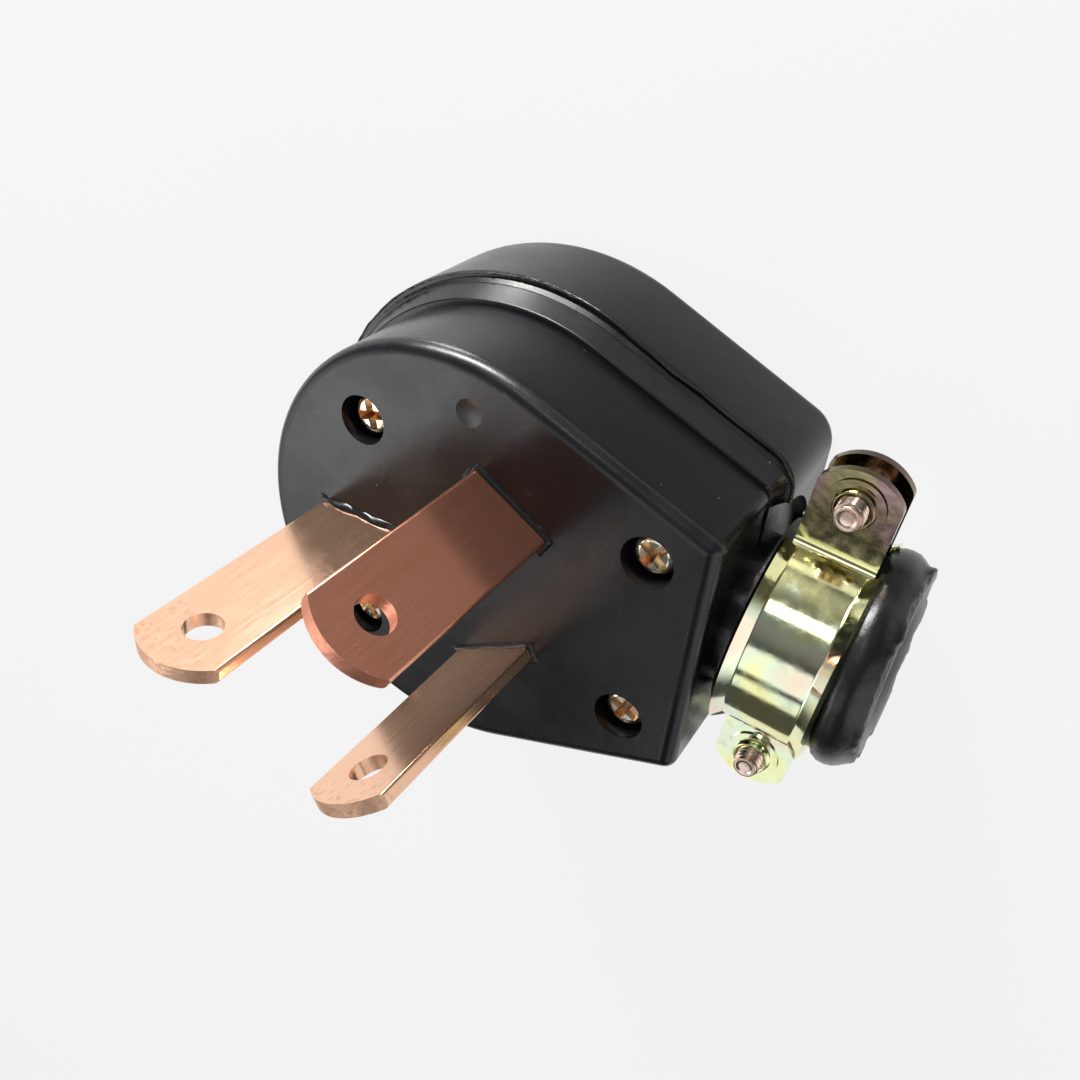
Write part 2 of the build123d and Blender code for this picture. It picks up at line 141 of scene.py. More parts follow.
class Nodes:
    """Short way to add and link the nodes of one tree."""

    def __init__(self, tree: bpy.types.NodeTree) -> None:
        """Keep the tree."""
        self.tree = tree

    def add(self, kind: str, **values: object) -> bpy.types.Node:
        """Add a node and set its properties.

        Args:
            kind: Type name of the node.
            **values: Properties of the node.

        Returns:
            The node.
        """
        node = self.tree.nodes.new(kind)
        for name, value in values.items():
            setattr(node, name, value)
        return node

    def put(self, socket: bpy.types.NodeSocket, value: object) -> None:
        """Link a socket to another node's output, or set its value.

        Args:
            socket: Input to feed.
            value: Output socket, number or tuple.
        """
        if isinstance(value, bpy.types.NodeSocket):
            self.tree.links.new(value, socket)
        elif hasattr(socket.default_value, "__len__") and len(socket.default_value) == 4:
            socket.default_value = (*value, 1.0)[:4]
        else:
            socket.default_value = value

    def math(self, operation: str, *values: object) -> bpy.types.NodeSocket:
        """Result of a Math node.

        Args:
            operation: Name of the operation.
            *values: Sockets or numbers, in the order of the node's inputs.

        Returns:
            The output socket.
        """
        node = self.add("ShaderNodeMath", operation=operation)
        for socket, value in zip(node.inputs, values):
            self.put(socket, value)
        return node.outputs[0]

    def mix(self, factor: object, first: object, second: object) -> bpy.types.NodeSocket:
        """Mix of two colours.

        Args:
            factor: Socket or number.
            first: Colour at factor 0.
            second: Colour at factor 1.

        Returns:
            The output socket.
        """
        node = self.add("ShaderNodeMix", data_type="RGBA")
        self.put(node.inputs["Factor"], factor)
        self.put(node.inputs[6], first)
        self.put(node.inputs[7], second)
        return node.outputs[2]

    def ramp(self, value: object, low: float, high: float, to_low: float = 0.0,
             to_high: float = 1.0) -> bpy.types.NodeSocket:
        """Smooth step of a value from one range to another.

        Args:
            value: Socket to map.
            low: Value that gives to_low.
            high: Value that gives to_high.
            to_low: Result at low.
            to_high: Result at high.

        Returns:
            The output socket.
        """
        node = self.add("ShaderNodeMapRange", interpolation_type="SMOOTHSTEP")
        for index, item in enumerate((value, low, high, to_low, to_high)):
            self.put(node.inputs[index], item)
        return node.outputs[0]

    def noise(self, vector: object, scale: object, detail: float,
              rough: float = 0.5) -> bpy.types.NodeSocket:
        """Value of a noise texture.

        Args:
            vector: Socket with the place.
            scale: Waves in a metre, as a socket or number.
            detail: Octaves.
            rough: Strength of the finer octaves.

        Returns:
            The output socket.
        """
        node = self.add("ShaderNodeTexNoise")
        for name, value in (("Vector", vector), ("Scale", scale), ("Detail", detail),
                            ("Roughness", rough)):
            self.put(node.inputs[name], value)
        return node.outputs["Fac"]

    def away(self, vector: object, centre: Point) -> bpy.types.NodeSocket:
        """Distance of a place from a fixed point.

        Args:
            vector: Socket with the place.
            centre: The fixed point.

        Returns:
            The output socket.
        """
        node = self.add("ShaderNodeVectorMath", operation="DISTANCE")
        self.put(node.inputs[0], vector)
        self.put(node.inputs[1], centre)
        return node.outputs["Value"]

    def axis(self, vector: object, name: str) -> bpy.types.NodeSocket:
        """One coordinate of a vector.

        Args:
            vector: Socket with the vector.
            name: X, Y or Z.

        Returns:
            The output socket.
        """
        node = self.add("ShaderNodeSeparateXYZ")
        self.put(node.inputs[0], vector)
        return node.outputs[name]

    def scaled(self, vector: object, scale: Point) -> bpy.types.NodeSocket:
        """Place stretched by a factor along each axis.

        Args:
            vector: Socket with the place.
            scale: Factor along each axis.

        Returns:
            The output socket.
        """
        node = self.add("ShaderNodeMapping")
        self.put(node.inputs["Vector"], vector)
        self.put(node.inputs["Scale"], scale)
        return node.outputs[0]

    def grey(self, value: bpy.types.NodeSocket) -> bpy.types.NodeSocket:
        """Grey colour from a number.

        Args:
            value: Socket with the number.

        Returns:
            The colour socket.
        """
        node = self.add("ShaderNodeCombineColor")
        for socket in node.inputs:
            self.put(socket, value)
        return node.outputs[0]

    def group(self, tree: bpy.types.NodeTree, place: object,
              **numbers: float) -> bpy.types.NodeOutputs:
        """Use of a shared group.

        Args:
            tree: The group's tree.
            place: Socket with the place.
            **numbers: Values of its number inputs, by name.

        Returns:
            The outputs, by name.
        """
        node = self.add("ShaderNodeGroup", node_tree=tree)
        self.put(node.inputs["Place"], place)
        for name, number in numbers.items():
            self.put(node.inputs[name], number)
        return node.outputs


def new_group(name: str, inputs: dict[str, float], outputs: tuple[str, ...]) -> Nodes:
    """Empty shader node group with a place, number inputs and number outputs.

    Args:
        name: Name of the group.
        inputs: Name and default of each number input.
        outputs: Name of each output.

    Returns:
        The helper of the group's tree.
    """
    tree = bpy.data.node_groups.new(name, "ShaderNodeTree")
    tree.interface.new_socket(name="Place", in_out="INPUT", socket_type="NodeSocketVector")
    for key, value in inputs.items():
        socket = tree.interface.new_socket(name=key, in_out="INPUT", socket_type="NodeSocketFloat")
        socket.default_value = value
    for key in outputs:
        tree.interface.new_socket(name=key, in_out="OUTPUT", socket_type="NodeSocketFloat")
    return Nodes(tree)


@dataclass(frozen=True)
class Grain:
    """Shared effect of a soft waviness, a fine grain and rare light specks."""

    grain_share: float = 0.12
    speck_choice: Span = (0.93, 0.99)
    speck_edge: Ramp = (0.05, 0.13, 1.0, 0.0)

    def build(self) -> bpy.types.NodeTree:
        """Build the node group.

        Returns:
            The node group.
        """
        n = new_group("surface_grain", {"Wave": 300.0, "Grain": 4000.0, "Speck": 900.0},
                      ("Height", "Mottle", "Specks"))
        given, made = n.add("NodeGroupInput").outputs, n.add("NodeGroupOutput").inputs
        wave = n.noise(given["Place"], given["Wave"], detail=2.0)
        grain = n.noise(given["Place"], given["Grain"], detail=3.0, rough=0.6)
        cells = n.add("ShaderNodeTexVoronoi", feature="F1")
        n.put(cells.inputs["Vector"], given["Place"])
        n.put(cells.inputs["Scale"], given["Speck"])
        draw = n.add("ShaderNodeSeparateColor")
        n.put(draw.inputs[0], cells.outputs["Color"])
        chosen = n.ramp(draw.outputs[0], *self.speck_choice)
        near = n.ramp(cells.outputs["Distance"], *self.speck_edge)
        n.put(made["Height"], n.math("MULTIPLY_ADD", grain, self.grain_share, wave))
        n.put(made["Mottle"], grain)
        n.put(made["Specks"], n.math("MULTIPLY", chosen, near))
        return n.tree


@dataclass(frozen=True)
class Streaks:
    """Shared effect of long fine streaks along the blades and broad blotches."""

    streak_stretch: Point = (1.0, 1.0, 0.02)
    blotch_stretch: Point = (1.0, 1.0, 0.35)

    def build(self) -> bpy.types.NodeTree:
        """Build the node group.

        Returns:
            The node group.
        """
        n = new_group("rolled_streaks", {"Fine": 5200.0, "Blotch": 150.0}, ("Streak", "Blotches"))
        given, made = n.add("NodeGroupInput").outputs, n.add("NodeGroupOutput").inputs
        drawn = n.scaled(given["Place"], self.streak_stretch)
        spread = n.scaled(given["Place"], self.blotch_stretch)
        n.put(made["Streak"], n.noise(drawn, given["Fine"], detail=4.0, rough=0.65))
        n.put(made["Blotches"], n.noise(spread, given["Blotch"], detail=4.0, rough=0.6))
        return n.tree


@dataclass(frozen=True)
class Finish:
    """One surface finish, with its uniform numbers on the shader's own sockets."""

    name: str
    colour: Colour
    roughness: float
    metallic: float = 0.0
    wave: float = 900.0
    grain: float = 4000.0
    depth: float = 0.02 * MM

    def start(self) -> tuple[bpy.types.Material, Nodes, bpy.types.Node, bpy.types.NodeSocket]:
        """Material with its shader and the place that its patterns use.

        Returns:
            The material, its node helper, the shader node and the Object coordinate.
        """
        material = bpy.data.materials.new(self.name)
        material.use_nodes = True
        n = Nodes(material.node_tree)
        shader = material.node_tree.nodes["Principled BSDF"]
        n.put(shader.inputs["Base Color"], self.colour)
        n.put(shader.inputs["Roughness"], self.roughness)
        n.put(shader.inputs["Metallic"], self.metallic)
        return material, n, shader, n.add("ShaderNodeTexCoord").outputs["Object"]

    def varied(self, n: Nodes, value: object, span: Span, swing: Span) -> bpy.types.NodeSocket:
        """Roughness that swings round the finish's own.

        Args:
            n: Node helper of the material.
            value: Socket with the pattern.
            span: Values of the pattern at the ends of the swing.
            swing: What is added to the roughness at either end.

        Returns:
            The output socket.
        """
        return n.ramp(value, *span, self.roughness + swing[0], self.roughness + swing[1])

    def bump(self, n: Nodes, shader: bpy.types.Node, height: object) -> None:
        """Feed the shader's normal from a height.

        Args:
            n: Node helper of the material.
            shader: The shader node.
            height: Socket with the height, in units of the finish's depth.
        """
        node = n.add("ShaderNodeBump")
        n.put(node.inputs["Distance"], self.depth)
        n.put(node.inputs["Height"], height)
        n.put(shader.inputs["Normal"], node.outputs["Normal"])


@dataclass(frozen=True)
class Moulding(Finish):
    """Black thermoset: satin, a little wavy, with rare pale specks of dust and flash."""

    wave: float = 260.0
    depth: float = 0.05 * MM
    mottle: float = 0.12
    blotch_scale: float = 70.0
    blotch_dulls: Ramp = (0.35, 0.7, -0.05, 0.07)
    blotch_greys: Span = (0.3, 0.75)
    greyer: float = 1.35
    speck_gain: float = 5.0
    speck_lift: float = 0.12

    def build(self, grain: bpy.types.NodeTree) -> bpy.types.Material:
        """Material of the moulding.

        Args:
            grain: The grain group.

        Returns:
            The material.
        """
        material, n, shader, place = self.start()
        marks = n.group(grain, place, Wave=self.wave, Grain=self.grain)
        blotch = n.noise(place, self.blotch_scale, detail=3.0)
        rough = n.math("MULTIPLY_ADD", marks["Mottle"], self.mottle,
                       self.roughness - self.mottle / 2)
        n.put(shader.inputs["Roughness"], n.math("ADD", rough, n.ramp(blotch, *self.blotch_dulls)))
        pale = tuple(min(1.0, self.speck_gain * c + self.speck_lift) for c in self.colour)
        grey = tuple(self.greyer * c for c in self.colour)
        body = n.mix(n.ramp(blotch, *self.blotch_greys), self.colour, grey)
        n.put(shader.inputs["Base Color"], n.mix(marks["Specks"], body, pale))
        self.bump(n, shader, marks["Height"])
        return material


@dataclass(frozen=True)
class Copper(Finish):
    """Bare rolled copper: lengthwise streaks, darker oxide blotches, rough sheared tips."""

    grain: float = 6000.0
    depth: float = 0.003 * MM
    oxide: Colour = (0.70, 0.34, 0.20)
    pale: Colour = (0.98, 0.65, 0.46)
    streak_tone: Span = (0.30, 0.74)
    streak_rough: Span = (0.3, 0.7)
    rough_swing: Span = (-0.03, 0.05)
    blotch_stain: Ramp = (0.52, 0.80, 0.0, 0.5)
    speckle_scale: float = 1400.0
    speckle_stain: Ramp = (0.50, 0.72, 0.0, 0.75)
    handled_along: Ramp = (60 * MM, 71 * MM, 0.15, 1.0)
    handled_rough: float = 0.12
    sheared_facing: Span = (0.25, 0.6)
    sheared_rough: float = 0.22
    sheared_height: float = 30.0

    def build(self, streaks: bpy.types.NodeTree, grain: bpy.types.NodeTree) -> bpy.types.Material:
        """Material of the blades.

        Args:
            streaks: The streak group.
            grain: The grain group.

        Returns:
            The material.
        """
        material, n, shader, place = self.start()
        drawn = n.group(streaks, place)
        marks = n.group(grain, place, Wave=self.wave, Grain=self.grain)
        tone = n.mix(n.ramp(drawn["Streak"], *self.streak_tone), self.colour, self.pale)
        speckle = n.noise(place, self.speckle_scale, detail=3.0, rough=0.6)
        handled = n.math("MULTIPLY", n.ramp(n.axis(place, "Z"), *self.handled_along),
                         n.ramp(speckle, *self.speckle_stain))
        stain = n.math("MAXIMUM", n.ramp(drawn["Blotches"], *self.blotch_stain), handled)
        n.put(shader.inputs["Base Color"], n.mix(stain, tone, self.oxide))
        facing = n.axis(n.add("ShaderNodeNewGeometry").outputs["Normal"], "Z")
        cut = n.ramp(facing, *self.sheared_facing)
        rough = self.varied(n, drawn["Streak"], self.streak_rough, self.rough_swing)
        rough = n.math("MULTIPLY_ADD", cut, self.sheared_rough, rough)
        rough = n.math("MULTIPLY_ADD", handled, self.handled_rough, rough)
        n.put(shader.inputs["Roughness"], rough)
        torn = n.math("MULTIPLY", n.math("MULTIPLY", marks["Height"], self.sheared_height), cut)
        self.bump(n, shader, n.math("ADD", drawn["Streak"], torn))
        return material


@dataclass(frozen=True)
class Zinc(Finish):
    """Yellow passivated zinc: mirror bright, its film shifting from olive to pink and blue green.

    Past a distance along +Y, on the upper ear, the colour is painted darker: a painted dark
    reflection.
    """

    wave: float = 420.0
    grain: float = 5000.0
    film: tuple[Colour, ...] = (
        (0.82, 0.82, 0.46), (0.97, 0.96, 0.46), (0.80, 0.92, 0.70), (0.95, 0.72, 0.56),
    )
    film_scale: float = 95.0
    film_span: Span = (0.25, 0.75)
    # dark tints, span, reach along +Y and wander of the painted dark reflection on the upper ear
    painted_reflection_tints: tuple[Colour, Colour] = ((0.26, 0.22, 0.12), (0.34, 0.16, 0.20))
    painted_reflection_span: Span = (0.4, 0.6)
    painted_reflection_along: Ramp = (15.5 * MM, 18.5 * MM, 0.0, 0.86)
    painted_reflection_wander: float = 4 * MM
    smear_scale: float = 700.0
    smear_span: Span = (0.35, 0.75)
    rough_swing: Span = (-0.03, 0.08)

    def build(self, grain: bpy.types.NodeTree) -> bpy.types.Material:
        """Material of the clamp.

        Args:
            grain: The grain group.

        Returns:
            The material.
        """
        material, n, shader, place = self.start()
        marks = n.group(grain, place, Wave=self.wave, Grain=self.grain)
        flow = n.noise(place, self.film_scale, detail=2.0, rough=0.45)
        bands = n.add("ShaderNodeValToRGB")
        n.put(bands.inputs[0], n.ramp(flow, *self.film_span))
        stops = bands.color_ramp.elements
        while len(stops) < len(self.film):
            stops.new(0.5)
        for index, tint in enumerate(self.film):
            stops[index].position = index / (len(self.film) - 1)
            stops[index].color = (*tint, 1.0)
        # painted dark reflection: darker tints past a wandering distance along +Y, on the upper ear
        painted_reflection = n.mix(n.ramp(flow, *self.painted_reflection_span), *self.painted_reflection_tints)
        edge = n.math("MULTIPLY_ADD", flow, self.painted_reflection_wander, n.axis(place, "Y"))
        far = n.ramp(edge, *self.painted_reflection_along)
        n.put(shader.inputs["Base Color"], n.mix(far, bands.outputs[0], painted_reflection))
        smear = n.noise(place, self.smear_scale, detail=3.0)
        n.put(shader.inputs["Roughness"],
              self.varied(n, smear, self.smear_span, self.rough_swing))
        self.bump(n, shader, marks["Height"])
        return material


@dataclass(frozen=True)
class PlainMetal(Finish):
    """Turned metal with slight tone changes and fine machining marks."""

    grain: float = 7000.0
    second: Colour = (0.6, 0.42, 0.2)
    tone_scale: float = 420.0
    tone_span: Span = (0.4, 0.65)
    rough_span: Span = (0.3, 0.7)
    rough_swing: Span = (-0.05, 0.1)

    def build(self, grain: bpy.types.NodeTree) -> bpy.types.Material:
        """Material of screws, inserts and bolts.

        Args:
            grain: The grain group.

        Returns:
            The material.
        """
        material, n, shader, place = self.start()
        marks = n.group(grain, place, Wave=self.wave, Grain=self.grain)
        tone = n.noise(place, self.tone_scale, detail=3.0)
        n.put(shader.inputs["Base Color"],
              n.mix(n.ramp(tone, *self.tone_span), self.colour, self.second))
        n.put(shader.inputs["Roughness"], self.varied(n, tone, self.rough_span, self.rough_swing))
        self.bump(n, shader, marks["Height"])
        return material


@dataclass
class Finishes:
    """All finishes of the plug, by slot, and the painted shade copies of single nodes."""

    made: dict[Slot, bpy.types.Material] = field(default_factory=dict)
    shaded_copies: dict[str, bpy.types.Material] = field(default_factory=dict)

    def build(self) -> None:
        """Make the shared groups, one material a slot, and the darker blade's own copper, a copy
        painted darker and redder as painted shade.
        """
        grain, streaks = Grain().build(), Streaks().build()
        self.made = {
            Slot.MOULDING: Moulding("black_moulding", (0.0058, 0.0061, 0.0074), 0.28).build(grain),
            Slot.RUBBER: Moulding("satin_rubber", (0.006, 0.006, 0.007), 0.30, wave=420.0,
                                  depth=0.12 * MM).build(grain),
            Slot.COPPER: Copper("rolled_copper", (0.93, 0.55, 0.36), 0.18,
                                0.92).build(streaks, grain),
            Slot.CLAMP: Zinc("yellow_zinc", (0.8, 0.75, 0.45), 0.10, 1.0).build(grain),
            Slot.SCREWS: PlainMetal("gilt_screws", (0.96, 0.89, 0.74), 0.16, 1.0,
                                    second=(0.74, 0.46, 0.28)).build(grain),
            Slot.BOLTS: PlainMetal("pink_zinc", (0.86, 0.70, 0.60), 0.20, 1.0,
                                   second=(0.75, 0.52, 0.42)).build(grain),
        }
        # the left hot blade gets a darker, redder copy of the copper: painted shade, for the blade
        # that faces away from the key lamp
        self.shaded_copies = {
            "left_hot_blade": Copper("painted_shade_copper", (0.82, 0.34, 0.22), 0.17, 0.92,
                                     oxide=(0.70, 0.29, 0.16),
                                     pale=(0.88, 0.40, 0.27)).build(streaks, grain),
        }

    def dress_nodes(self, frame: dict) -> None:
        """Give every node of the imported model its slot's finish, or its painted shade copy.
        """
        wanted = {part["node"]: Slot(part["material_slot"]) for part in frame["record"]["subparts"]}
        for name, obj in frame["nodes"].items():
            obj.data.materials.clear()
            obj.data.materials.append(self.shaded_copies.get(name, self.made[wanted[name]]))

    def dress(self, piece: bpy.types.Object, slot: Slot) -> None:
        """Give a new piece its finish, its slot and its body.

        Args:
            piece: The new piece.
            slot: Its material slot.
        """
        piece.data.materials.clear()
        piece.data.materials.append(self.made[slot])
        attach(piece, BODY)
        LOG.info("piece %s, %d faces", piece.name, len(piece.data.polygons))


@dataclass(frozen=True)
class Patch:
    """Soft round patch of light in the sky, its core and reach in degrees."""

    aim: Sky
    core: float
    reach: float
    strength: float


@dataclass(frozen=True)
class Lamp:
    """Oblong lamp that faces the plug."""

    name: str
    azimuth: float
    elevation: float
    distance: float
    size: Span
    watts: float
    colour: Colour


@dataclass(frozen=True)
class Studio:
    """Pale floor, soft light and the photograph's camera."""

    camera_at: Point = (64.1 * MM, 85.8 * MM, 131.7 * MM)
    looks_along: Point = (-0.376, -0.578, -0.725)
    image_up: Point = (-0.365, 0.811, -0.457)
    focal_px: float = 1062.0
    image_px: float = 1080.0
    sensor_mm: float = 36.0
    clip: Span = (0.01, 20.0)
    floor_half: float = 3.0
    floor_colour: Colour = (0.80, 0.80, 0.80)
    floor_roughness: float = 0.9
    floor_specular: float = 0.1
    floor_white: float = 0.925
    floor_tint: Colour = (1.0, 0.995, 0.998)
    camera_share: float = 0.92
    glossy_share: float = 0.85
    shade_at: Point = (46 * MM, 88 * MM, 0.0)
    shade: Ramp = (44 * MM, 84 * MM, 0.09, 1.0)
    glint_at: Point = (-44 * MM, 90 * MM, 0.0)
    glint: Ramp = (7.35 * MM, 21 * MM, 32.0, 0.0)
    sky_base: float = 0.07
    patches: tuple[Patch, ...] = (
        Patch(Sky.ZENITH, 12.0, 17.0, 1.0),
        Patch(Sky.LEFT_HIGH, 10.0, 34.0, 1.2),
        Patch(Sky.FRONT, 5.0, 10.0, 0.9),
        Patch(Sky.RIGHT, 14.0, 36.0, 1.1),
        Patch(Sky.TOP_LOW, 8.0, 24.0, 0.6),
        Patch(Sky.OVAL, 1.5, 7.5, 5.0),
        Patch(Sky.BACK, 25.0, 50.0, 0.14),
    )
    lamps: tuple[Lamp, ...] = (
        Lamp("key_lamp", azimuth=114.0, elevation=13.0, distance=0.45, size=(0.25, 0.10),
             watts=3.3, colour=(1.0, 0.985, 0.96)),
        Lamp("fill_lamp", azimuth=-150.0, elevation=48.0, distance=0.60, size=(0.30, 0.22),
             watts=0.35, colour=(0.95, 0.98, 1.0)),
    )
    lamps_face: Point = (10 * MM, 0.0, 30 * MM)

    def build_camera(self) -> None:
        """Add the camera at the photograph's place."""
        data = bpy.data.cameras.new("photo_camera")
        data.sensor_width = self.sensor_mm
        data.lens = self.focal_px * self.sensor_mm / self.image_px
        data.clip_start, data.clip_end = self.clip
        camera = bpy.data.objects.new("photo_camera", data)
        back = -Vector(self.looks_along).normalized()
        right = Vector(self.image_up).cross(back).normalized()
        turn = Matrix((right, back.cross(right), back)).transposed()
        camera.matrix_world = Matrix.Translation(self.camera_at) @ turn.to_4x4()
        bpy.context.scene.collection.objects.link(camera)
        bpy.context.scene.camera = camera

    def build_floor(self) -> None:
        """Add the pale floor, with a shaded part and a bright spot for glossy rays only."""
        deselect()
        bpy.ops.mesh.primitive_plane_add(size=2 * self.floor_half, location=(0, 0, 0))
        floor = bpy.context.object
        floor.name = "floor"
        material = bpy.data.materials.new("pale_floor")
        material.use_nodes = True
        n = Nodes(material.node_tree)
        shader = material.node_tree.nodes["Principled BSDF"]
        n.put(shader.inputs["Base Color"], self.floor_colour)
        n.put(shader.inputs["Roughness"], self.floor_roughness)
        n.put(shader.inputs["Specular IOR Level"], self.floor_specular)
        path = n.add("ShaderNodeLightPath").outputs
        place = n.add("ShaderNodeTexCoord").outputs["Object"]
        lit = n.math("ADD", n.ramp(n.away(place, self.shade_at), *self.shade),
                     n.ramp(n.away(place, self.glint_at), *self.glint))
        glow = n.add("ShaderNodeEmission")
        n.put(glow.inputs["Color"], n.mix(path["Is Camera Ray"], n.grey(lit), self.floor_tint))
        n.put(glow.inputs["Strength"], self.floor_white)
        share = n.math("MAXIMUM", n.math("MULTIPLY", path["Is Camera Ray"], self.camera_share),
                       n.math("MULTIPLY", path["Is Glossy Ray"], self.glossy_share))
        both = n.add("ShaderNodeMixShader")
        for socket, value in zip(both.inputs, (share, shader.outputs[0], glow.outputs[0])):
            n.put(socket, value)
        n.put(material.node_tree.nodes["Material Output"].inputs["Surface"], both.outputs[0])
        floor.data.materials.append(material)

    def build_sky(self) -> None:
        """Light the plug from soft patches of a dim sky, pale where the camera sees it."""
        world = bpy.data.worlds.new("studio_sky")
        world.use_nodes = True
        bpy.context.scene.world = world
        n = Nodes(world.node_tree)
        background = world.node_tree.nodes["Background"]
        way = n.add("ShaderNodeTexCoord").outputs["Generated"]
        light = self.sky_base
        for patch in self.patches:
            aim = n.add("ShaderNodeVectorMath", operation="DOT_PRODUCT")
            n.put(aim.inputs[0], way)
            n.put(aim.inputs[1], direction(*patch.aim.value))
            inner, outer = (math.cos(math.radians(a)) for a in (patch.core, patch.reach))
            spot = n.ramp(aim.outputs["Value"], outer, inner, 0.0, patch.strength)
            light = n.math("ADD", spot, light)
        path = n.add("ShaderNodeLightPath").outputs
        shown = n.mix(path["Is Camera Ray"], n.grey(light), (self.floor_white,) * 3)
        n.put(background.inputs["Color"], shown)

    def build_lamps(self) -> None:
        """Add the key lamp above the top of the picture and a weak fill."""
        for lamp in self.lamps:
            data = bpy.data.lights.new(lamp.name, "AREA")
            data.shape = "RECTANGLE"
            data.size, data.size_y = lamp.size
            data.energy = lamp.watts
            data.color = lamp.colour
            way = direction(lamp.azimuth, lamp.elevation)
            placed = bpy.data.objects.new(lamp.name, data)
            placed.location = way * lamp.distance + Vector(self.lamps_face)
            placed.rotation_euler = way.to_track_quat("Z", "Y").to_euler()
            bpy.context.scene.collection.objects.link(placed)

    def build(self) -> None:
        """Build the whole studio."""
        self.build_camera()
        self.build_floor()
        self.build_sky()
        self.build_lamps()
        bpy.context.scene.view_settings.view_transform = "Standard"


def deselect() -> None:
    """Leave object mode clean, with nothing selected."""
    if bpy.context.object and bpy.context.object.mode != "OBJECT":
        bpy.ops.object.mode_set(mode="OBJECT")
    bpy.ops.object.select_all(action="DESELECT")


def edit_all() -> None:
    """Edit the active piece, with all of it selected."""
    bpy.ops.object.mode_set(mode="EDIT")
    bpy.ops.mesh.select_all(action="SELECT")


def start_piece(name: str, add: Callable[..., object], **values: object) -> bpy.types.Object:
    """Add a primitive with nothing else selected, name it and enter edit mode.

    Args:
        name: Name of the piece.
        add: Primitive operator.
        **values: Arguments of the operator.

    Returns:
        The new object, in edit mode with all selected.
    """
    deselect()
    add(**values)
    piece = bpy.context.object
    piece.name = piece.data.name = name
    edit_all()
    return piece


def start_copy(node: bpy.types.Object, name: str) -> bpy.types.Object:
    """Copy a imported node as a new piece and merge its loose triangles.

    Args:
        node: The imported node.
        name: Name of the piece.

    Returns:
        The new object, in edit mode with all selected.
    """
    deselect()
    piece = bpy.data.objects.new(name, node.data.copy())
    bpy.context.scene.collection.objects.link(piece)
    piece.select_set(True)
    bpy.context.view_layer.objects.active = piece
    edit_all()
    bpy.ops.mesh.remove_doubles(threshold=CLOSE)
    edit_all()
    return piece


def end_piece(piece: bpy.types.Object, smooth_below: float = 35.0) -> bpy.types.Object:
    """Leave edit mode, put the piece's place in its mesh and smooth its soft edges.

    Args:
        piece: The piece.
        smooth_below: Angle, in degrees, below which edges are smooth.

    Returns:
        The piece.
    """
    deselect()
    piece.select_set(True)
    bpy.context.view_layer.objects.active = piece
    bpy.ops.object.transform_apply(location=True, rotation=True, scale=True)
    bpy.ops.object.shade_smooth_by_angle(angle=math.radians(smooth_below))
    return piece


def apply_modifier(piece: bpy.types.Object, kind: str, **values: object) -> None:
    """Add a modifier, set it and apply it.

    Args:
        piece: The piece, in object mode.
        kind: Type of the modifier.
        **values: Settings of the modifier.
    """
    modifier = piece.modifiers.new(kind.lower(), kind)
    for name, value in values.items():
        setattr(modifier, name, value)
    bpy.context.view_layer.objects.active = piece
    bpy.ops.object.modifier_apply(modifier=modifier.name)


def join(pieces: list[bpy.types.Object]) -> bpy.types.Object:
    """Join pieces into the first one.

    Args:
        pieces: The pieces, all in object mode.

    Returns:
        The joined piece.
    """
    deselect()
    for piece in pieces:
        piece.select_set(True)
    bpy.context.view_layer.objects.active = pieces[0]
    bpy.ops.object.join()
    return pieces[0]


def select_points(piece: bpy.types.Object, wanted: Callable[[Vector], bool]) -> None:
    """Select only the wanted points of a piece in edit mode.

    Args:
        piece: The piece, in edit mode.
        wanted: Test of a place in the frame.
    """
    bpy.ops.mesh.select_mode(type="VERT")
    bpy.ops.mesh.select_all(action="DESELECT")
    bpy.ops.object.mode_set(mode="OBJECT")
    for point in piece.data.vertices:
        point.select = wanted(piece.matrix_world @ point.co)
    bpy.ops.object.mode_set(mode="EDIT")


def select_faces(piece: bpy.types.Object, wanted: Callable[[bpy.types.MeshPolygon], bool]) -> None:
    """Select only the wanted faces of a piece in edit mode.

    Args:
        piece: The piece, in edit mode.
        wanted: Test of a face.
    """
    bpy.ops.mesh.select_mode(type="FACE")
    bpy.ops.mesh.select_all(action="DESELECT")
    bpy.ops.object.mode_set(mode="OBJECT")
    for face in piece.data.polygons:
        face.select = wanted(face)
    bpy.ops.object.mode_set(mode="EDIT")


@dataclass(frozen=True)
class Blank:
    """Short bar of the clamp's hardware, and how its outer end is worked."""

    sides: int
    radius: float
    height: float
    rim: float
    dish_width: float
    dish_depth: float
    rounding: float
    rounding_steps: int = 3
    taper: float = 1.0
    outer_end: float = 1.0

    def build(self, name: str, centre: Vector, middle: float) -> bpy.types.Object:
        """Shape the blank: taper and dish its outer end, and round its edges.

        Args:
            name: Name of the piece.
            centre: Place of the axis.
            middle: Height of the blank's middle.

        Returns:
            The piece.
        """
        piece = start_piece(name, bpy.ops.mesh.primitive_cylinder_add, vertices=self.sides,
                            radius=self.radius, depth=self.height,
                            location=(centre.x, centre.y, middle))
        select_faces(piece, lambda face: face.normal.z * self.outer_end > FACING)
        bpy.ops.transform.resize(value=(self.taper, self.taper, 1.0))
        bpy.ops.mesh.inset(thickness=self.rim, depth=0.0)
        bpy.ops.mesh.inset(thickness=self.dish_width, depth=-self.dish_depth)
        bpy.ops.object.mode_set(mode="OBJECT")
        apply_modifier(piece, "BEVEL", width=self.rounding, segments=self.rounding_steps,
                       limit_method="ANGLE")
        return end_piece(piece)


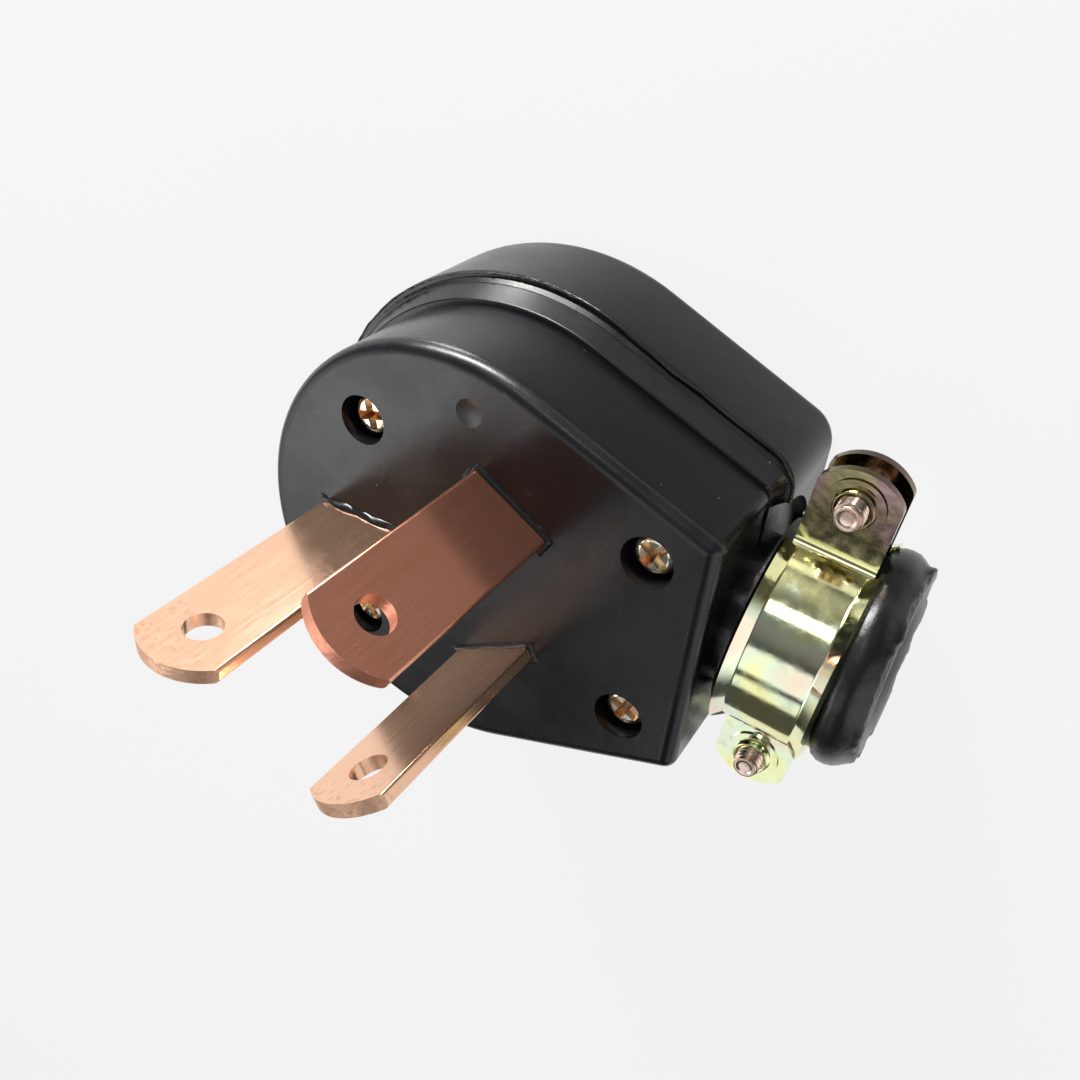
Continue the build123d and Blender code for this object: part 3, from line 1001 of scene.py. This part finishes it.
@dataclass
class ClampBolts:
    """Two clamp bolts with a hexagon head below and a threaded shank above, in drawn hubs."""

    radius: float = 1.85 * MM
    pitch: float = 0.62 * MM
    thread_depth: float = 0.30 * MM
    crest_share: float = 0.2
    turn_steps: int = 28
    spare_turns: int = 2
    sunk_pitches: float = 0.25
    weld: float = 0.0124 * MM
    smooth_below: float = 50.0
    ear_top: float = 22.8 * MM
    hub_sunk: float = 0.15 * MM
    head: Blank = Blank(sides=6, radius=5.5 * MM / math.sqrt(3), height=2.0 * MM, rim=0.44 * MM,
                        dish_width=0.36 * MM, dish_depth=0.12 * MM, rounding=0.14 * MM,
                        rounding_steps=2, outer_end=-1.0)
    end: Blank = Blank(sides=40, radius=1.62 * MM, height=0.9 * MM, rim=0.486 * MM,
                       dish_width=0.1944 * MM, dish_depth=0.135 * MM, rounding=0.18 * MM)
    hub: Blank = Blank(sides=56, radius=2.75 * MM, height=0.9 * MM, rim=0.3 * MM,
                       dish_width=0.12 * MM, dish_depth=0.3 * MM, rounding=0.13 * MM, taper=0.9)

    def thread(self, name: str, centre: Vector, bottom: float, top: float) -> bpy.types.Object:
        """Helical shank between two heights.

        Args:
            name: Name of the piece.
            centre: Place of the axis.
            bottom: Height of the seat of the head.
            top: Height of the shank's end.

        Returns:
            The shank.
        """
        middle = self.radius - self.thread_depth + self.pitch / 2
        shank = start_piece(name, bpy.ops.mesh.primitive_plane_add, size=self.pitch,
                            location=(middle, 0.0, self.pitch / 2),
                            rotation=(math.pi / 2, 0.0, 0.0))
        select_points(shank, lambda place: place.x < middle)
        bpy.ops.mesh.select_mode(type="EDGE")
        bpy.ops.mesh.delete(type="EDGE")
        select_points(shank, lambda place: place.x > middle)
        bpy.ops.transform.resize(value=(1.0, 1.0, self.crest_share))
        bpy.ops.transform.translate(value=(self.thread_depth - self.pitch, 0.0, 0.0))
        end_piece(shank)
        turns = math.ceil((top - bottom) / self.pitch) + self.spare_turns
        apply_modifier(shank, "SCREW", angle=2 * math.pi, screw_offset=self.pitch,
                       iterations=turns, steps=self.turn_steps, render_steps=self.turn_steps,
                       axis="Z")
        edit_all()
        bpy.ops.mesh.remove_doubles(threshold=self.weld)
        start = bottom - self.spare_turns * self.pitch
        bpy.ops.transform.translate(value=(centre.x, centre.y, start))
        for height, above in ((top, True), (bottom - self.sunk_pitches * self.pitch, False)):
            edit_all()
            bpy.ops.mesh.bisect(threshold=CLOSE, plane_co=(centre.x, centre.y, height),
                                plane_no=(0, 0, 1), use_fill=True, clear_outer=above,
                                clear_inner=not above)
        edit_all()
        bpy.ops.mesh.normals_make_consistent(inside=False)
        return end_piece(shank, self.smooth_below)

    def build(self, finishes: Finishes) -> None:
        """Build both bolts in place of their plain nodes, and their hubs.

        Args:
            finishes: The plug's finishes.
        """
        for side in ("left", "right"):
            low, high = (Vector(corner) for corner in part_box(f"{side}_clamp_bolt"))
            centre = (low + high) / 2
            end_middle = high.z - self.end.height / 2
            shank = self.thread(f"{side}_bolt_thread", centre, low.z + self.head.height,
                                end_middle)
            head = self.head.build(f"{side}_bolt_head", centre, low.z + self.head.height / 2)
            end = self.end.build(f"{side}_bolt_end", centre, end_middle)
            bolt = join([shank, head, end])
            bolt.name = bolt.data.name = f"{side}_threaded_bolt"
            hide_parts(f"{side}_clamp_bolt")
            finishes.dress(bolt, Slot.BOLTS)
            hub_middle = self.ear_top + self.hub.height / 2 - self.hub_sunk
            hub = self.hub.build(f"{side}_ear_hub", centre, hub_middle)
            finishes.dress(hub, Slot.CLAMP)


@dataclass(frozen=True)
class BladeRoot:
    """Where one blade leaves the face, and how high its flash stands."""

    node: str
    angle: float
    width: float
    seed: int
    height: float


@dataclass
class MouldingFlash:
    """Thin ragged lips that the moulding left round the blades and at the joint."""

    blade_thick: float = 2.0 * MM
    lip_width: float = 0.75 * MM
    lip_thick: float = 0.25 * MM
    lip_sunk: float = 0.02 * MM
    collar_height: float = 0.35 * MM
    edge_length: float = 0.45 * MM
    swell_middle: float = 0.45
    swell_least: float = 0.05
    swell: Wave = Wave(0.95, 0.22)
    chip: Wave = Wave(0.45, 0.6)
    spread: Wave = Wave(0.5, 0.5)
    crown_power: float = 0.8
    joint_height: float = 17.0 * MM
    joint_cut: float = 16.3 * MM
    joint_foot: float = 16.75 * MM
    joint_inset: float = 0.22 * MM
    joint_rise: float = 0.35 * MM
    joint_thick: float = 0.16 * MM
    joint_cuts: int = 5
    joint_weld: float = 0.01 * MM
    ragged_middle: float = 0.5
    ragged: Wave = Wave(1.0, 0.12)
    teeth: tuple[Wave, Wave] = (Wave(1.0, 0.9), Wave(0.5, 2.3))
    ragged_rise: float = 0.22 * MM
    tooth_rise: float = 0.75 * MM
    lean: Wave = Wave(0.004, 0.5)
    smooth_below: float = 60.0
    roots: tuple[BladeRoot, ...] = (
        BladeRoot("neutral_blade", angle=0.0, width=13.5 * MM, seed=3, height=0.70 * MM),
        BladeRoot("left_hot_blade", angle=-30.0, width=12.7 * MM, seed=8, height=0.22 * MM),
        BladeRoot("right_hot_blade", angle=30.0, width=12.7 * MM, seed=5, height=0.22 * MM),
    )

    def root_lip(self, root: BladeRoot, face_z: float) -> bpy.types.Object:
        """Uneven raised lip round the foot of one blade.

        Args:
            root: The blade's root.
            face_z: Height of the face.

        Returns:
            The lip.
        """
        low, high = (Vector(corner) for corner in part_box(root.node))
        centre = (low + high) / 2
        length = root.width + 2 * self.lip_width
        lip = start_piece(root.node.replace("_blade", "_root_flash"),
                          bpy.ops.mesh.primitive_plane_add, size=1.0)
        bpy.ops.transform.resize(value=(length, self.blade_thick + 2 * self.lip_width, 1.0))
        bpy.ops.mesh.inset(thickness=self.lip_width, use_even_offset=True)
        bpy.ops.mesh.delete(type="FACE")
        edit_all()
        bpy.ops.mesh.subdivide(number_cuts=int(length / self.edge_length))
        bpy.ops.object.mode_set(mode="OBJECT")
        turn = Matrix.Rotation(math.radians(root.angle), 3, "Z")
        for vertex in lip.data.vertices:
            x, y = vertex.co.x, vertex.co.y
            past_x = max(abs(x) - root.width / 2, 0.0)
            past_y = max(abs(y) - self.blade_thick / 2, 0.0)
            out = min(1.0, max(past_x, past_y) / self.lip_width)
            place = Vector((x, y, 0.0)) / MM
            swell = self.swell_middle + self.swell.at(place, (root.seed, 0, 0))
            chip = max(0.0, self.chip.at(place, (0, root.seed, 0)))
            crown = math.cos(0.5 * math.pi * out) ** self.crown_power
            rise = self.collar_height + max(self.swell_least, swell - chip) * root.height
            spread = self.spread.at(place, (0, 0, root.seed))
            flat = turn @ Vector((x + math.copysign(past_x, x) * spread,
                                  y + math.copysign(past_y, y) * spread, 0.0))
            vertex.co = (flat.x + centre.x, flat.y + centre.y,
                         face_z - self.lip_sunk + rise * crown)
        apply_modifier(lip, "SOLIDIFY", thickness=self.lip_thick, offset=-1.0)
        return end_piece(lip, self.smooth_below)

    def joint_outline(self, node: bpy.types.Object, name: str) -> bpy.types.Object:
        """Outer outline of a node just below the joint, as a loop of edges.

        Args:
            node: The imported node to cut.
            name: Name of the new object.

        Returns:
            The object, in edit mode with all selected.
        """
        outline = start_copy(node, name)
        bpy.ops.mesh.bisect(threshold=CLOSE, plane_co=(0, 0, self.joint_cut), plane_no=(0, 0, 1),
                            clear_inner=True, clear_outer=True)
        edit_all()
        bpy.ops.mesh.remove_doubles(threshold=self.joint_weld)
        bpy.ops.mesh.select_all(action="DESELECT")
        bpy.ops.object.mode_set(mode="OBJECT")
        farthest = min(outline.data.vertices, key=lambda vertex: vertex.co.x)
        farthest.select = True
        bpy.ops.object.mode_set(mode="EDIT")
        bpy.ops.mesh.select_linked()
        bpy.ops.mesh.select_all(action="INVERT")
        bpy.ops.mesh.delete(type="VERT")
        edit_all()
        return outline

    def joint_lip(self, cover: bpy.types.Object) -> bpy.types.Object:
        """Ragged strip that stands on the cover's rim along the joint.

        Args:
            cover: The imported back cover.

        Returns:
            The strip.
        """
        strip = self.joint_outline(cover, "joint_flash")
        bpy.ops.mesh.subdivide(number_cuts=self.joint_cuts)
        bpy.ops.object.mode_set(mode="OBJECT")
        for vertex in strip.data.vertices:
            flat = Vector((vertex.co.x, vertex.co.y, 0.0))
            flat -= flat.normalized() * self.joint_inset
            vertex.co = (flat.x, flat.y, self.joint_foot)
        edit_all()
        bpy.ops.mesh.extrude_edges_move(TRANSFORM_OT_translate={"value": (0, 0, self.joint_rise)})
        bpy.ops.object.mode_set(mode="OBJECT")
        for vertex in strip.data.vertices:
            if vertex.co.z > self.joint_height:
                place = vertex.co / MM
                ragged = self.ragged_middle + self.ragged.at(place)
                tooth = sum(max(0.0, wave.at(place)) for wave in self.teeth)
                vertex.co.z += ragged * (self.ragged_rise + self.tooth_rise * tooth)
                vertex.co.xy *= 1.0 + self.lean.at(place)
        apply_modifier(strip, "SOLIDIFY", thickness=self.joint_thick, offset=0.0)
        return end_piece(strip, self.smooth_below)

    def build(self, finishes: Finishes, frame: dict) -> None:
        """Build every lip.

        Args:
            finishes: The plug's finishes.
        """
        face_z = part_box("front_body")[1][2] - self.collar_height
        for root in self.roots:
            finishes.dress(self.root_lip(root, face_z), Slot.MOULDING)
        finishes.dress(self.joint_lip(frame["nodes"]["back_cover"]), Slot.MOULDING)


@dataclass
class Bush:
    """Rubber bush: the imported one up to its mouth, and a thick lip with a torn rim.

    The outline, the rim and the rises are in millimetres, as distance along and from the axis.
    """

    axis_z: float = 19.7 * MM
    cut_x: float = 54.3 * MM
    steps: int = 240
    seam_weld: float = 0.005 * MM
    body_smooth_below: float = 30.0
    lip_smooth_below: float = 55.0
    outline: tuple[Span, ...] = (
        (52.15, 12.4), (52.2, 13.3), (52.7, 14.1), (53.6, 14.55), (54.6, 14.6), (55.5, 14.4),
        (56.2, 14.0), (56.8, 13.55), (57.3, 13.25), (57.8, 13.05), (58.1, 12.8), (58.12, 12.4),
        (58.05, 11.8), (57.9, 11.0), (57.6, 10.0), (57.1, 8.85), (56.5, 7.75), (55.8, 6.98),
        (55.0, 6.48), (54.2, 6.27), (53.7, 7.2), (53.3, 9.0), (53.0, 11.0),
    )
    rim_from: float = 56.6
    rim_inside: float = 11.2
    rim_end: float = 58.12
    farthest: float = 58.15
    dents: Wave = Wave(0.10, 3.0)
    dents_along: float = 0.5
    jags: tuple[Wave, ...] = (Wave(0.9, 2.6), Wave(0.22, 13.0), Wave(0.06, 40.0))
    jag_lift: float = 0.25
    jag_gain: float = 1.1
    tear: float = 0.95
    rim_wave: Wave = Wave(0.10, 7.0)
    rim_seed: Point = (5.0, 0.0, 0.0)
    lobe_angle: float = math.radians(-19.0)
    lobe_width: float = math.radians(9.0)
    lobe_rise: float = 0.9

    def spun_lip(self) -> bpy.types.Object:
        """Closed ring with the lip's outline, torn at its rim.

        Returns:
            The ring.
        """
        lip = start_piece("bush_lip", bpy.ops.mesh.primitive_circle_add,
                          vertices=len(self.outline), radius=MM)
        bpy.ops.object.mode_set(mode="OBJECT")
        for point, (along, radius) in zip(lip.data.vertices, self.outline):
            point.co = (along * MM, 0.0, self.axis_z + radius * MM)
        edit_all()
        bpy.ops.mesh.spin(steps=self.steps, angle=2 * math.pi, center=(0.0, 0.0, self.axis_z),
                          axis=(1.0, 0.0, 0.0))
        edit_all()
        bpy.ops.mesh.remove_doubles(threshold=self.seam_weld)
        bpy.ops.mesh.normals_make_consistent(inside=False)
        bpy.ops.object.mode_set(mode="OBJECT")
        for point in lip.data.vertices:
            point.co = self.worn(point.co)
        return end_piece(lip, self.lip_smooth_below)

    def worn(self, place: Vector) -> Vector:
        """Place of a point of the lip after wear and tearing.

        Args:
            place: Where the point was spun to.

        Returns:
            Where it ends.
        """
        across = Vector((0.0, place.y, place.z - self.axis_z))
        radius, around = across.length / MM, across.normalized()
        along = place.x / MM
        if radius > self.rim_inside:
            radius += self.dents.at(around, (along * self.dents_along, 0, 0))
        rim = max(0.0, along - self.rim_from) / (self.rim_end - self.rim_from)
        rim *= min(1.0, max(0.0, radius - self.rim_inside))
        jag = sum(wave.at(around) for wave in self.jags)
        along -= rim * rim * self.tear * max(0.0, self.jag_lift + self.jag_gain * jag)
        radius += rim * self.rim_wave.at(around, self.rim_seed)
        turn = math.atan2(around.z, around.y) - self.lobe_angle
        radius += rim * self.lobe_rise * math.exp(-(turn / self.lobe_width) ** 2)
        return Vector((min(along, self.farthest) * MM, around.y * radius * MM,
                       self.axis_z + around.z * radius * MM))

    def build(self, finishes: Finishes, frame: dict) -> None:
        """Build the bush in place of its plain node.

        Args:
            finishes: The plug's finishes.
        """
        body = start_copy(frame["nodes"]["cable_bush"], "moulded_bush")
        bpy.ops.mesh.bisect(threshold=CLOSE, plane_co=(self.cut_x, 0, 0), plane_no=(1, 0, 0),
                            clear_outer=True)
        select_points(body, lambda place: abs(place.x - self.cut_x) < CLOSE)
        bpy.ops.mesh.select_mode(type="EDGE")
        bpy.ops.mesh.bridge_edge_loops()
        bpy.ops.object.mode_set(mode="OBJECT")
        bpy.ops.mesh.customdata_custom_splitnormals_clear()
        end_piece(body, self.body_smooth_below)
        bush = join([body, self.spun_lip()])
        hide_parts("cable_bush")
        finishes.dress(bush, Slot.RUBBER)


def main() -> None:
    """Build every class in order and report the pieces."""
    logging.basicConfig(level=logging.INFO, format="%(name)s: %(message)s")
    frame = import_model()
    finishes = Finishes()
    finishes.build()
    finishes.dress_nodes(frame)
    ClampBolts().build(finishes)
    MouldingFlash().build(finishes, frame)
    Bush().build(finishes, frame)
    Studio().build()


if __name__ == "__main__":
    main()
